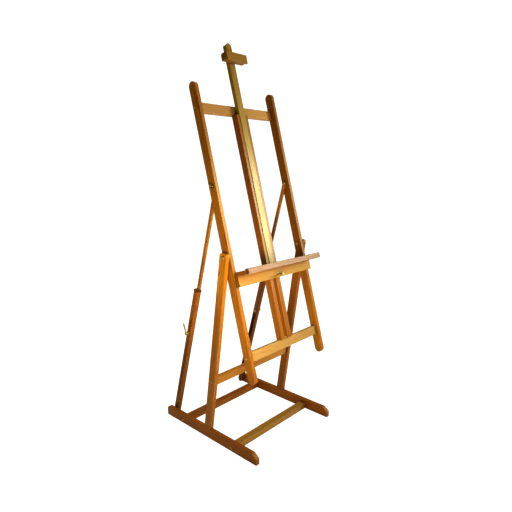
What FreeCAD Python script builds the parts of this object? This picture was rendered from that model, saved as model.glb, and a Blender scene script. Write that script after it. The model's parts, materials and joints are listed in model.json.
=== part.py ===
# Studio easel with a tilting frame, in millimetres.
# +X is the easel's right seen from the front, +Y its back, +Z up; the floor is Z = 0 and the
# origin lies in the middle of the base. Each assembly has a frame of its own (see frames), and
# every sub-part is drawn in the coordinates of the frame that it stands in.
import FreeCAD, Part
import Sketcher
import os
import re

doc = FreeCAD.newDocument("studio_easel")
dims = doc.addObject("Spreadsheet::Sheet", "dims")

sizes = [
    # base
    ("base_width", 600, "over the outer faces of the feet and of the uprights"),
    ("foot_thick", 22, "foot, across the easel"),
    ("foot_height", 52, "foot, floor to top"),
    ("foot_length", 690, "foot, front to back"),
    ("toe_length", 28, "slope at the front end of the foot, along it"),
    ("toe_drop", 21, "slope at the front end of the foot, down"),
    ("heel_length", 12, "slope at the back end of the foot, along it"),
    ("heel_drop", 10, "slope at the back end of the foot, down"),
    ("base_rail_depth", 38, "base rail, front to back"),
    ("base_rail_height", 31, "base rail, bottom to top"),
    ("base_rail_lift", 1.5, "base rail's bottom above the floor"),
    ("front_rail_inset", 169.5, "front base rail's middle behind the foot's front end"),
    ("rear_rail_inset", 141.5, "rear base rail's middle ahead of the foot's back end"),
    ("base_bolt_rise", 19, "base rail bolts above the floor"),
    # uprights and their brace
    ("upright_thick", 22, "upright, across the easel"),
    ("upright_depth", 46, "upright, front to back"),
    ("upright_at", 1.7, "Y of the upright's middle on top of the foot"),
    ("lean", 8.9, "degrees that the uprights lean to the front"),
    ("pivot_rise", 926, "frame pivot above the foot, along the upright"),
    ("upright_crown", 23, "upright beyond the pivot"),
    ("crown_round", 14, "rounding of the upright's upper corners"),
    ("tenon_thick", 10, "upright's tenon, across the easel"),
    ("tenon_depth", 30, "upright's tenon, front to back"),
    ("tenon_length", 30, "upright's tenon, into the foot"),
    ("mortise_play", 0.1, "clearance round the tenon"),
    ("brace_rise", 272.8, "brace's middle above the foot, along the upright"),
    ("brace_height", 43, "brace, bottom to top"),
    ("brace_thick", 22, "brace, front to back"),
    # tilting frame, measured up and out from the pivot
    ("tilt", 15.2, "degrees that the frame leans back"),
    ("rail_gap", 1.5, "upright to side rail, filled by the pivot washer"),
    ("rail_thick", 20, "side rail, across the easel"),
    ("rail_depth", 46.5, "side rail, front to back, and its round ends"),
    ("rail_above", 831.4, "side rail above the pivot"),
    ("rail_below", 603.5, "side rail below the pivot"),
    ("top_bar_up", 690, "lower edge of the top crossbar above the pivot"),
    ("top_bar_height", 51, "top crossbar, bottom to top"),
    ("top_bar_front", -8, "top crossbar's front face, ahead of the pivot"),
    ("top_bar_thick", 15, "top crossbar, front to back"),
    ("low_bar_down", 456, "upper edge of the lower crossbar below the pivot"),
    ("low_bar_height", 47, "lower crossbar, bottom to top"),
    ("low_bar_front", 6.7, "lower crossbar's front face, ahead of the pivot"),
    ("low_bar_thick", 22, "lower crossbar, front to back"),
    # channel for the mast and the tray
    ("channel_half", 37.5, "channel, half its width"),
    ("channel_front", 20.8, "channel's front face, ahead of the pivot"),
    ("channel_depth", 37.5, "channel, front to back"),
    ("slot_half", 11, "slot between the strips, half its width"),
    ("rebate_half", 21.5, "rebate in front of the slot, half its width"),
    ("rebate_depth", 2.5, "rebate, front to back"),
    ("slide_gap", 0.3, "clearance of what slides in or on the channel"),
    # mast
    ("mast_half", 19.3, "mast, half its width, and its round top"),
    ("mast_proud", 2.4, "mast's face ahead of the channel's face"),
    ("mast_down", 100, "mast's foot below the pivot"),
    ("mast_length", 1157, "mast, foot to top"),
    ("tongue_back", 7.4, "back of the mast's tongue, behind the pivot"),
    ("tongue_short", 6, "mast's top above the end of its tongue"),
    ("head_half", 70, "head block, half its width"),
    ("head_depth", 42.7, "head block, front to back"),
    ("head_drop", 106, "head block's underside below the mast's top"),
    ("head_height", 36, "head block, underside to top"),
    ("head_lip", 7, "head block's lip below its underside"),
    ("head_lip_thick", 12, "head block's lip, front to back"),
    ("head_bevel", 6, "bevel along the head block's upper back edge"),
    # tray
    ("tray_half", 272, "tray, half its width"),
    ("tray_gap", 0.4, "mast's face to the tray board"),
    ("board_down", 146, "tray board's lower edge below the pivot"),
    ("board_height", 51, "tray board, bottom to top"),
    ("board_thick", 22, "tray board, front to back"),
    ("shelf_thick", 20, "tray shelf, bottom to top"),
    ("shelf_back", 34, "tray shelf's back edge, ahead of the pivot"),
    ("shelf_depth", 66, "tray shelf, front to back"),
    ("lip_thick", 22.5, "tray lip, front to back"),
    ("lip_height", 26, "tray lip, bottom to top"),
    ("lip_rise", 2.2, "tray lip's lower edge above the shelf's underside"),
    ("tray_bolt_down", 132.5, "tray bolt below the pivot"),
    # struts, measured up from their foot hinge
    ("hinge_inset", 36, "strut's foot hinge ahead of the foot's back end"),
    ("hinge_rise", 31, "strut's foot hinge above the floor"),
    ("pin_up", 338, "strut's top bolt above the frame pivot, along the side rail"),
    ("strut_thick", 24, "strut, across the easel"),
    ("strut_web", 11.9, "strut's wall beside the rod's groove"),
    ("strut_depth", 31, "strut, front to back, and its round foot"),
    ("strut_length", 765, "strut above its foot hinge"),
    ("rod_thick", 12.5, "strut rod, across the easel"),
    ("rod_depth", 17, "strut rod, front to back, and its round head"),
    ("rod_gap", 0.4, "side rail to strut rod"),
    ("groove_gap", 0.3, "clearance of the rod in the strut's groove"),
    ("groove_start", 70, "lower end of the groove above the foot hinge"),
    ("slot_low", 112, "lower end of the clamp slot above the foot hinge"),
    ("slot_high", 590, "upper end of the clamp slot above the foot hinge"),
    ("clamp_rise", 510, "clamp bolt above the foot hinge"),
    ("rod_tail", 15, "rod below its clamp bolt"),
    ("collar_height", 7, "strut collar, bottom to top"),
    ("collar_wall", 1, "strut collar, sheet thickness"),
    ("collar_gap", 0.3, "clearance round the strut in its collar"),
    ("lever_swing", 26, "degrees from the strut back to its clamp lever"),
    ("lever_length", 57, "clamp lever, bolt to tip"),
    ("lever_flare", 8, "clamp lever's tip further out than its root"),
    ("lever_thick", 4, "clamp lever, across the easel"),
    ("lever_width", 10, "clamp lever, front to back"),
    ("lever_hub", 8, "clamp lever hub, radius"),
    ("lever_hub_length", 20, "clamp lever hub, along the bolt"),
    ("lever_root", 14, "clamp lever's arm above the foot of its hub"),
    # bolts, nuts, washers, screws and dowels
    ("bolt", 3, "connector and clamp bolts, radius"),
    ("bolt_play", 0.2, "clearance round a bolt in wood"),
    ("running_fit", 0.05, "clearance round a bolt in a part that turns on it"),
    ("bolt_head", 6.5, "connector bolt head, radius"),
    ("bolt_head_high", 2.6, "connector bolt head, height"),
    ("bolt_reach", 28, "connector bolt beyond the face of the crossbar's end"),
    ("barrel", 5, "barrel nut, radius"),
    ("barrel_length", 17, "barrel nut, length"),
    ("barrel_inset", 16, "barrel nut from the end of its crossbar"),
    ("barrel_play", 0.15, "clearance round a barrel nut"),
    ("barrel_skin", 3, "wood left in front of a barrel nut"),
    ("socket", 2.6, "hexagon socket in bolt heads, over its corners, half"),
    ("socket_deep", 1.6, "hexagon socket in bolt heads, depth"),
    ("pivot", 4, "pivot and hinge bolts, radius"),
    ("pivot_head", 9, "pivot bolt head, radius"),
    ("pivot_head_high", 4.5, "pivot bolt head, height"),
    ("pivot_nut", 7.5, "pivot nut, over its corners, half"),
    ("pivot_nut_high", 6, "pivot nut, height"),
    ("washer", 10, "washers, radius"),
    ("washer_thick", 1.3, "washers, thickness"),
    ("hinge_screw", 16, "hinge bolt's thread into the foot"),
    ("face_gap", 0.1, "clearance between faces that turn on each other"),
    ("clamp_head", 7, "clamp bolt head, radius"),
    ("clamp_head_high", 4, "clamp bolt head, height"),
    ("plate_half", 26, "clamp plate, half its width"),
    ("plate_height", 30, "clamp plate, bottom to top"),
    ("plate_thick", 4, "clamp plate, front to back"),
    ("mast_bolt_up", 15, "mast's clamp bolt above its foot"),
    ("wing_hub", 6.5, "wing nut hub, radius"),
    ("wing_hub_length", 10, "wing nut hub, along its bolt"),
    ("wing_reach", 18, "wing nut, hub's middle to a wing's tip"),
    ("wing_rise", 15, "wing nut's wings along the bolt"),
    ("wing_tip", 5, "wing nut, rounding of its ears"),
    ("wing_thick", 2.6, "wing nut's wings, thickness"),
    ("wing_swing", 22, "degrees from the side rail back to its wing bolt's wings"),
    ("hub_cap", 1.3, "closed end of a hub, and the bolt's end short of it"),
    ("tray_hub_length", 34, "tray wing nut's hub, along its bolt"),
    ("tray_wing_reach", 31, "tray wing nut, hub's middle to a wing's tip"),
    ("tray_wing_tip", 8, "tray wing nut, rounding of its ears"),
    ("tray_wing_rise", 36, "tray wing nut's wings along its bolt"),
    ("dowel", 2.5, "dowels in the top crossbar, radius"),
    ("tray_dowel", 4, "dowels in the tray and the lower crossbar, radius"),
    ("dowel_half", 18, "channel dowels, half their length"),
    ("tray_dowel_half", 12, "tray dowels, half their length"),
    ("dowel_play", 0.1, "clearance round a dowel and past its end"),
    ("dowel_pitch", 180, "tray dowels, one to the next"),
    ("dowel_inset", 4.2, "upper channel dowels behind the top crossbar's front"),
    ("screw", 2.2, "screws, radius"),
    ("screw_head", 5, "screw heads, radius"),
    ("screw_head_high", 2, "screw heads, height"),
    ("screw_reach", 24, "screws beyond the mast"),
    ("hole_end", 1, "blind holes beyond the end of the bolt or screw in them"),
    ("overcut", 1, "cuts beyond the open ends of the collar"),
    ("head_screw_low", 9, "lower head block screw above the block's underside"),
    ("head_screw_high", 27, "upper head block screw above the block's underside"),
    ("stop_pin", 2.5, "stop pin across the slot, radius"),
    ("stop_pin_rise", 5, "stop pin above the lower crossbar"),
    ("stop_pin_deep", 8.3, "stop pin behind the rebate's floor"),
    ("stop_pin_grip", 12, "stop pin's ends in the strips"),
    ("lip_ease", 2, "rounding of the tray lip's edges"),
    ("lever_ease", 1.2, "rounding of the clamp lever's edges"),
    ("wood_ease", 1, "rounding of the edges of wooden pieces"),
    ("metal_ease", 0.5, "rounding of the edges of bolt heads and knobs"),
]

for row, (alias, value, note) in enumerate(sizes, start=1):
    dims.set(f"A{row}", alias)
    dims.set(f"B{row}", str(value))
    dims.set(f"C{row}", note)
    dims.setAlias(f"B{row}", alias)
doc.recompute()

aliases = {alias for alias, value, note in sizes}


def bind(target, path, text):
    """Ties a property to a formula written with the sheet's aliases."""
    def cell(match):
        word = match.group(0)
        return "dims." + word if word in aliases else word
    target.setExpression(path, re.sub(r"[a-z_][a-z_0-9]*", cell, str(text)))


def number(text):
    result = dims.evalExpression(str(text))
    return float(getattr(result, "Value", result))


# Places that several pieces share, as formulas.
upright_inner = "(base_width / 2 - upright_thick)"
rail_outer = f"({upright_inner} - rail_gap)"
rail_inner = f"({rail_outer} - rail_thick)"
pivot_y = "(upright_at - pivot_rise * sin(lean))"
pivot_z = "(foot_height + pivot_rise * cos(lean))"
front_rail_at = "(front_rail_inset - foot_length / 2)"
rear_rail_at = "(foot_length / 2 - rear_rail_inset)"
hinge_at = "(foot_length / 2 - hinge_inset)"
pin_y = f"({pivot_y} + pin_up * sin(tilt))"
pin_z = f"({pivot_z} + pin_up * cos(tilt))"
strut_lean = f"atan2({hinge_at} - {pin_y}; {pin_z} - hinge_rise)"
pin_rise = f"hypot({hinge_at} - {pin_y}; {pin_z} - hinge_rise)"
foot_inner = "(base_width / 2 - foot_thick)"
rod_outer = f"({rail_inner} - rod_gap)"
rod_inner = f"({rod_outer} - rod_thick)"
groove_floor = f"({rod_outer} + groove_gap)"
strut_outer = f"({groove_floor} + strut_web)"
strut_inner = f"({strut_outer} - strut_thick)"
channel_back = "(channel_front - channel_depth)"
rebate_floor = "(channel_front - rebate_depth)"
mast_front = "(channel_front + mast_proud)"
mast_top = "(mast_length - mast_down)"
head_foot = f"({mast_top} - head_drop)"
board_back = f"({mast_front} + tray_gap)"
board_front = f"({board_back} + board_thick)"
board_top = "(board_height - board_down)"
shelf_top = f"({board_top} + shelf_thick)"
shelf_front = "(shelf_back + shelf_depth)"
plate_front = f"({channel_back} - slide_gap)"
plate_back = f"({plate_front} - plate_thick)"
lever_y = f"({hinge_at} - clamp_rise * sin({strut_lean}))"
lever_z = f"(hinge_rise + clamp_rise * cos({strut_lean}))"

# Origin Y, origin Z and turn about X of each assembly's frame.
frames = {
    "base": ("0", "0", "0"),
    "upright": ("upright_at", "foot_height", "lean"),
    "tilting": (pivot_y, pivot_z, "-tilt"),
    "strut": (hinge_at, "hinge_rise", strut_lean),
    "lever": (lever_y, lever_z, f"{strut_lean} - lever_swing * 1 deg"),
    "wing": (pin_y, pin_z, "-tilt - wing_swing"),
}


def seat(piece, frame):
    turn = FreeCAD.Rotation(FreeCAD.Vector(1, 0, 0), 1)
    piece.Placement = FreeCAD.Placement(FreeCAD.Vector(0, 0, 0), turn)
    along, up, angle = frames[frame]
    bind(piece, "Placement.Base.y", along)
    bind(piece, "Placement.Base.z", up)
    bind(piece, "Placement.Rotation.Angle", angle)
    return piece


# A piece is drawn in one of three planes and runs from start for length along its normal:
# "YZ" looks along X with (y, z), "XZ" along the front with (x, z), "XY" up with (x, y).
def new_sketch(body, plane, start):
    sketch = body.newObject("Sketcher::SketchObject", "Sketch")
    role = plane + "_Plane"
    origin_plane = next(item for item in body.Origin.OriginFeatures if item.Role == role)
    sketch.AttachmentSupport = (origin_plane, [""])
    sketch.MapMode = "FlatFace"
    bind(sketch, "AttachmentOffset.Base.z", start)
    return sketch


def pin_down(sketch, geometry, vertex, place):
    """Ties a point of a sketch to a pair of formulas."""
    for kind, axis, text in (("DistanceX", "x", place[0]), ("DistanceY", "y", place[1])):
        value = number(text)
        index = sketch.addConstraint(Sketcher.Constraint(kind, -1, 1, geometry, vertex, value))
        name = f"{axis}{geometry}_{vertex}"
        sketch.renameConstraint(index, name)
        bind(sketch, "Constraints." + name, text)


def run_sketch(body, sketch, start, length, cut):
    """Pads a sketch along its normal, or cuts the same stretch away."""
    before = body.Shape.Volume if cut else 0
    feature = body.newObject("PartDesign::Pocket" if cut else "PartDesign::Pad", "Run")
    feature.Profile = sketch
    if cut:
        bind(sketch, "AttachmentOffset.Base.z", f"({start}) + ({length})")
    bind(feature, "Length", length)
    doc.recompute()
    if cut and body.Shape.Volume > before - 0.5:
        raise ValueError(body.Label + ": a cut removes nothing")


def prism(body, plane, corners, start, length, cut=False):
    sketch = new_sketch(body, plane, start)
    points = [FreeCAD.Vector(number(a), number(b), 0) for a, b in corners]
    count = len(points)
    for index in range(count):
        sketch.addGeometry(Part.LineSegment(points[index], points[(index + 1) % count]), False)
    for index in range(count):
        joint = Sketcher.Constraint("Coincident", index, 2, (index + 1) % count, 1)
        sketch.addConstraint(joint)
    for index, corner in enumerate(corners):
        pin_down(sketch, index, 1, corner)
    run_sketch(body, sketch, start, length, cut)


def disc(body, plane, centre, radius, start, length, cut=False):
    sketch = new_sketch(body, plane, start)
    middle = FreeCAD.Vector(number(centre[0]), number(centre[1]), 0)
    circle = Part.Circle(middle, FreeCAD.Vector(0, 0, 1), number(radius))
    sketch.addGeometry(circle, False)
    pin_down(sketch, 0, 3, centre)
    index = sketch.addConstraint(Sketcher.Constraint("Radius", 0, number(radius)))
    sketch.renameConstraint(index, "radius")
    bind(sketch, "Constraints.radius", radius)
    run_sketch(body, sketch, start, length, cut)


def bore(body, plane, centre, radius, start, length):
    disc(body, plane, centre, radius, start, length, cut=True)


def sharp_edges(shape):
    """Names the edges where two faces meet at an angle."""
    names = []
    for index, edge in enumerate(shape.Edges, start=1):
        faces = shape.ancestorsOfType(edge, Part.Face)
        if len(faces) < 2:
            continue
        middle = edge.valueAt((edge.FirstParameter + edge.LastParameter) / 2)
        normals = [face.normalAt(*face.Surface.parameter(middle)) for face in faces[:2]]
        if abs(normals[0].dot(normals[1])) < 0.9:
            names.append(f"Edge{index}")
    return names


def round_edges(body, names, radius):
    last = body.Tip
    fillet = body.newObject("PartDesign::Fillet", "Round")
    fillet.Base = (last, names)
    bind(fillet, "Radius", radius)
    doc.recompute()


def ease(body, radius="wood_ease"):
    round_edges(body, sharp_edges(body.Shape), radius)


def new_body(label, frame):
    body = doc.addObject("PartDesign::Body", label)
    body.Label = label
    return seat(body, frame)


def box_corners(low, high, bottom, top):
    return [(low, bottom), (high, bottom), (high, top), (low, top)]


def across(side, near, far):
    """Start and length along X of what lies from near to far off the middle, on one side."""
    length = f"({far}) - ({near})"
    return (f"{near}" if side > 0 else f"-({far})"), length


def primitive(kind, place, turn, **lengths):
    piece = doc.addObject("Part::" + kind, kind)
    piece.Placement = FreeCAD.Placement(FreeCAD.Vector(0, 0, 0), turn)
    for axis, text in zip("xyz", place):
        bind(piece, "Placement.Base." + axis, text)
    for name, text in lengths.items():
        bind(piece, name, text)
    return piece


turns = {
    "YZ": FreeCAD.Rotation(FreeCAD.Vector(0, 1, 0), 90),
    "XZ": FreeCAD.Rotation(FreeCAD.Vector(1, 0, 0), 90),
    "XY": FreeCAD.Rotation(),
}


def place_on(plane, centre, start):
    first, second = centre
    places = {
        "YZ": (start, first, second),
        "XZ": (first, f"-({start})", second),
        "XY": (first, second, start),
    }
    return places[plane]


def round_bar(plane, centre, radius, start, length):
    place = place_on(plane, centre, start)
    return primitive("Cylinder", place, turns[plane], Radius=radius, Height=length)


def hex_bar(plane, centre, radius, start, length):
    place = place_on(plane, centre, start)
    return primitive("Prism", place, turns[plane], Circumradius=radius, Height=length)


def crown(plane, centre, radius, start, height, outward):
    """A bolt head: a disc whose outer rim is bevelled."""
    bevel = "(metal_ease * 2)"
    rim = f"(({height}) - {bevel})"
    if outward > 0:
        low, cone_start = start, f"({start}) + {rim}"
        radii = (radius, f"({radius}) - {bevel}")
    else:
        low, cone_start = f"({start}) - {rim}", f"({start}) - ({height})"
        radii = (f"({radius}) - {bevel}", radius)
    rim_disc = round_bar(plane, centre, radius, low, rim)
    place = place_on(plane, centre, cone_start)
    cone = primitive("Cone", place, turns[plane], Radius1=radii[0], Radius2=radii[1],
                     Height=bevel)
    return [rim_disc, cone]


def carry(piece, frame):
    """Moves one primitive, drawn in a frame's coordinates, to where that frame stands."""
    carrier = doc.addObject("Part::Compound", "Carried")
    carrier.Links = [piece]
    return seat(carrier, frame)


def pierce(base, tool, frame):
    cut = doc.addObject("Part::Cut", "Pierced")
    cut.Base = base
    cut.Tool = tool
    return seat(cut, frame)


def bolt(frame, plane, centre, face, outward, head, head_high, shank, reach):
    """A bolt with a hexagon socket; its head stands on the face, its shank runs the other way."""
    start = f"({face}) - ({reach})" if outward > 0 else face
    socket_start = f"({face}) + ({head_high}) - socket_deep"
    if outward < 0:
        socket_start = f"({face}) - ({head_high})"
    joined = doc.addObject("Part::MultiFuse", "Joined")
    joined.Shapes = crown(plane, centre, head, face, head_high, outward)
    joined.Shapes += [round_bar(plane, centre, shank, start, reach)]
    joined.Refine = True
    socket = hex_bar(plane, centre, "socket", socket_start, "socket_deep")
    return pierce(joined, socket, frame)


def ring(frame, plane, centre, radius, hole, start, length):
    outer = round_bar(plane, centre, radius, start, length)
    inner = round_bar(plane, centre, hole, start, length)
    return pierce(outer, inner, frame)


def node(label, pieces):
    """One named sub-part; several pieces stay separate solids."""
    if len(pieces) == 1:
        pieces[0].Label = label
        return pieces[0]
    group = doc.addObject("Part::Compound", label)
    group.Links = pieces
    group.Label = label
    return group


def wing_nut(label, frame, plane, centre, start, way, hub_length, reach, tip, rise):
    """A hub with two round ears; way is +1 or -1 for the direction in which it stands out."""
    nut = new_body(label, frame)
    ear = f"({reach} - {tip})"
    near = f"({start}) + {way} * ({rise} - 2 * {tip})"
    middle = f"({start}) + {way} * ({rise} - {tip})"
    far = f"({start}) + {way} * ({rise})"
    root = f"({start}) + {way} * wing_thick"
    crest = f"({start}) + {way} * ({hub_length} - wing_thick)"
    profile = [("0", root), (ear, near), (ear, far), ("0", crest), (f"-{ear}", far),
               (f"-{ear}", near)]
    upright_ears = plane == "YZ"
    ear_plane = "XZ" if upright_ears else "XY"
    ear_start = f"-({centre[0]})" if upright_ears else centre[1]
    ear_start += " - wing_thick / 2"

    def turned(off, along):
        if upright_ears:
            return along, f"{centre[1]} + {off}"
        return f"{centre[0]} + {off}", f"-({along})"

    prism(nut, ear_plane, [turned(*point) for point in profile], ear_start, "wing_thick")
    for off in (ear, f"-{ear}"):
        disc(nut, ear_plane, turned(off, middle), tip, ear_start, "wing_thick")
    hub_low = start if way > 0 else f"({start}) - ({hub_length})"
    disc(nut, plane, centre, "wing_hub", hub_low, hub_length)
    return nut


def bore_hub(nut, plane, centre, start, way, hub_length):
    """The bolt's hole in a hub, closed at its outer end."""
    depth = f"({hub_length} - hub_cap)"
    low = start if way > 0 else f"({start}) - {depth}"
    bore(nut, plane, centre, "bolt + running_fit", low, depth)


def clamp_plate(label, middle):
    """A flat plate across the back of the channel, with a hole for its bolt."""
    plate = new_body(label, "tilting")
    low = f"{middle} - plate_height / 2"
    high = f"{middle} + plate_height / 2"
    prism(plate, "XZ", box_corners("-plate_half", "plate_half", low, high), plate_back,
          "plate_thick")
    ease(plate, "metal_ease")
    bore(plate, "XZ", ("0", middle), "bolt + running_fit", plate_back, "plate_thick")
    return plate


nodes = []
sides = {"left": -1, "right": 1}
bolt_hole = "(bolt + bolt_play)"
barrel_hole = "(barrel + barrel_play)"
dowel_end = "(dowel_half + dowel_play)"
tray_dowel_end = "(tray_dowel_half + dowel_play)"


def connector(frame, side, face, bar_end, centre, barrel_plane, barrel_centre, barrel_start,
              barrel_run="barrel_length"):
    """A bolt through a side piece into a barrel nut across the crossbar's end."""
    reach = f"({face}) - ({bar_end}) + bolt_reach"
    seat_face = face if side > 0 else f"-({face})"
    bolt_piece = bolt(frame, "YZ", centre, seat_face, side, "bolt_head", "bolt_head_high",
                      "bolt", reach)
    nut = round_bar(barrel_plane, barrel_centre, "barrel", barrel_start, barrel_run)
    start = seat_face if side < 0 else f"({seat_face}) - ({reach})"
    thread = round_bar("YZ", centre, "bolt + running_fit", start, reach)
    return bolt_piece, pierce(nut, thread, frame)


def bore_bar_end(body, side, bar_end, centre):
    start, length = across(side, f"{bar_end} - bolt_reach - hole_end", bar_end)
    bore(body, "YZ", centre, bolt_hole, start, length)


# --- feet, base rails and uprights ------------------------------------------------------------
def in_base(y, z):
    """A point of the upright's frame in the base's frame."""
    return (f"upright_at + ({y}) * cos(lean) - ({z}) * sin(lean)",
            f"foot_height + ({y}) * sin(lean) + ({z}) * cos(lean)")


base_rails = {"front_base_rail": front_rail_at, "rear_base_rail": rear_rail_at}
base_bolts = []
base_barrels = []

for name, side in sides.items():
    foot = new_body(name + "_foot", "base")
    start, length = across(side, foot_inner, "base_width / 2")
    outline = [
        ("-foot_length / 2", "0"),
        ("foot_length / 2", "0"),
        ("foot_length / 2", "foot_height - heel_drop"),
        ("foot_length / 2 - heel_length", "foot_height"),
        ("-foot_length / 2 + toe_length", "foot_height"),
        ("-foot_length / 2", "foot_height - toe_drop"),
    ]
    prism(foot, "YZ", outline, start, length)
    ease(foot)
    wall = "(foot_thick - tenon_thick) / 2 - mortise_play"
    half = "(tenon_depth / 2 + mortise_play)"
    deep = "-(tenon_length + mortise_play)"
    mortise = [in_base(f"-{half}", deep), in_base(half, deep),
               in_base(half, "tenon_depth"), in_base(f"-{half}", "tenon_depth")]
    start, length = across(side, f"{foot_inner} + {wall}", f"base_width / 2 - ({wall})")
    prism(foot, "YZ", mortise, start, length, cut=True)
    start, length = across(side, foot_inner, "base_width / 2")
    for rail_at in base_rails.values():
        bore(foot, "YZ", (rail_at, "base_bolt_rise"), bolt_hole, start, length)
    start, length = across(side, foot_inner, f"{foot_inner} + hinge_screw + hole_end")
    bore(foot, "YZ", (hinge_at, "hinge_rise"), "pivot + running_fit", start, length)
    nodes.append(foot)

for name, rail_at in base_rails.items():
    rail = new_body(name, "base")
    low = f"{rail_at} - base_rail_depth / 2"
    high = f"{rail_at} + base_rail_depth / 2"
    top = "base_rail_lift + base_rail_height"
    prism(rail, "YZ", box_corners(low, high, "base_rail_lift", top),
          f"-{foot_inner}", f"2 * {foot_inner}")
    ease(rail)
    for side in sides.values():
        centre = (rail_at, "base_bolt_rise")
        bore_bar_end(rail, side, foot_inner, centre)
        barrel_at = (f"{side} * ({foot_inner} - barrel_inset)", rail_at)
        barrel_low = "base_bolt_rise - barrel_length / 2"
        bore(rail, "XY", barrel_at, barrel_hole, "base_rail_lift",
             f"{barrel_low} + barrel_length + barrel_play - base_rail_lift")
        bolt_piece, nut = connector("base", side, "base_width / 2", foot_inner, centre, "XY",
                                    barrel_at, barrel_low)
        base_bolts.append(bolt_piece)
        base_barrels.append(nut)
    nodes.append(rail)

for name, side in sides.items():
    upright = new_body(name + "_upright", "upright")
    start, length = across(side, upright_inner, "base_width / 2")
    slope = "upright_depth / 2 * tan(lean)"
    top = "pivot_rise + upright_crown"
    outline = [
        ("-upright_depth / 2", slope),
        ("upright_depth / 2", f"-({slope})"),
        ("upright_depth / 2", top),
        ("-upright_depth / 2", top),
    ]
    prism(upright, "YZ", outline, start, length)
    corners = [
        f"Edge{index}" for index, edge in enumerate(upright.Shape.Edges, start=1)
        if edge.BoundBox.XLength > 1 and edge.CenterOfMass.z > number(pivot_z)
    ]
    round_edges(upright, corners, "crown_round")
    ease(upright)
    start, length = across(side, f"{upright_inner} + (upright_thick - tenon_thick) / 2",
                           "base_width / 2 - (upright_thick - tenon_thick) / 2")
    prism(upright, "YZ", box_corners("-tenon_depth / 2", "tenon_depth / 2", "-tenon_length",
                                     f"{slope} + wood_ease * 2"), start, length)
    start, length = across(side, upright_inner, "base_width / 2")
    bore(upright, "YZ", ("0", "pivot_rise"), "pivot + bolt_play", start, length)
    bore(upright, "YZ", ("0", "brace_rise"), bolt_hole, start, length)
    nodes.append(upright)

brace = new_body("upright_crossbar", "upright")
prism(brace, "YZ", box_corners("-brace_thick / 2", "brace_thick / 2",
                               "brace_rise - brace_height / 2", "brace_rise + brace_height / 2"),
      f"-{upright_inner}", f"2 * {upright_inner}")
ease(brace)
for side in sides.values():
    bore_bar_end(brace, side, upright_inner, ("0", "brace_rise"))
    barrel_at = (f"{side} * ({upright_inner} - barrel_inset)", "brace_rise")
    barrel_low = "brace_thick / 2 - barrel_length"
    bore(brace, "XZ", barrel_at, barrel_hole, f"{barrel_low} - barrel_play",
         "barrel_length + barrel_play")
    bolt_piece, nut = connector("upright", side, "base_width / 2", upright_inner,
                                ("0", "brace_rise"), "XZ", barrel_at, barrel_low)
    base_bolts.append(bolt_piece)
    base_barrels.append(nut)
nodes.append(brace)
nodes.append(node("base_connector_bolts", base_bolts))
nodes.append(node("base_barrel_nuts", base_barrels))

# --- pivots between the uprights and the side rails -------------------------------------------
pivot_centre = ("0", "pivot_rise")
pivot_bolts = []
pivot_washers = []
pivot_nuts = []
for side in sides.values():
    reach = f"base_width / 2 - {rail_inner} + pivot_nut_high"
    face = "base_width / 2" if side > 0 else "-base_width / 2"
    pivot_bolts.append(bolt("upright", "YZ", pivot_centre, face, side, "pivot_head",
                            "pivot_head_high", "pivot", reach))
    start, length = across(side, f"{rail_outer} + face_gap", f"{upright_inner}")
    pivot_washers.append(ring("upright", "YZ", pivot_centre, "washer", "pivot + running_fit",
                              start, length))
    start, length = across(side, f"{rail_inner} - face_gap - pivot_nut_high",
                           f"{rail_inner} - face_gap")
    outer = hex_bar("YZ", pivot_centre, "pivot_nut", start, length)
    inner = round_bar("YZ", pivot_centre, "pivot + running_fit", start, length)
    pivot_nuts.append(pierce(outer, inner, "upright"))
nodes.append(node("pivot_bolts", pivot_bolts))
nodes.append(node("pivot_washers", pivot_washers))
nodes.append(node("pivot_nuts", pivot_nuts))

# --- tilting frame ----------------------------------------------------------------------------
frame_bolts = []
frame_barrels = []
crossbars = {
    "top_crossbar": ("top_bar_up", "top_bar_height", "top_bar_front", "top_bar_thick"),
    "lower_crossbar": ("(-low_bar_down - low_bar_height)", "low_bar_height", "low_bar_front",
                       "low_bar_thick"),
}


def bar_centre(up, height, front, thick):
    return (f"-({front} - {thick} / 2)", f"{up} + {height} / 2")


for name, side in sides.items():
    rail = new_body(name + "_side_rail", "tilting")
    start, length = across(side, rail_inner, rail_outer)
    half = "rail_depth / 2"
    ends = [f"-rail_below + {half}", f"rail_above - {half}"]
    prism(rail, "YZ", box_corners(f"-{half}", half, *ends), start, length)
    for end in ends:
        disc(rail, "YZ", ("0", end), half, start, length)
    ease(rail)
    bore(rail, "YZ", ("0", "0"), "pivot + running_fit", start, length)
    bore(rail, "YZ", ("0", "pin_up"), "bolt + running_fit", start, length)
    for up, height, front, thick in crossbars.values():
        bore(rail, "YZ", bar_centre(up, height, front, thick), bolt_hole, start, length)
    nodes.append(rail)

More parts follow.
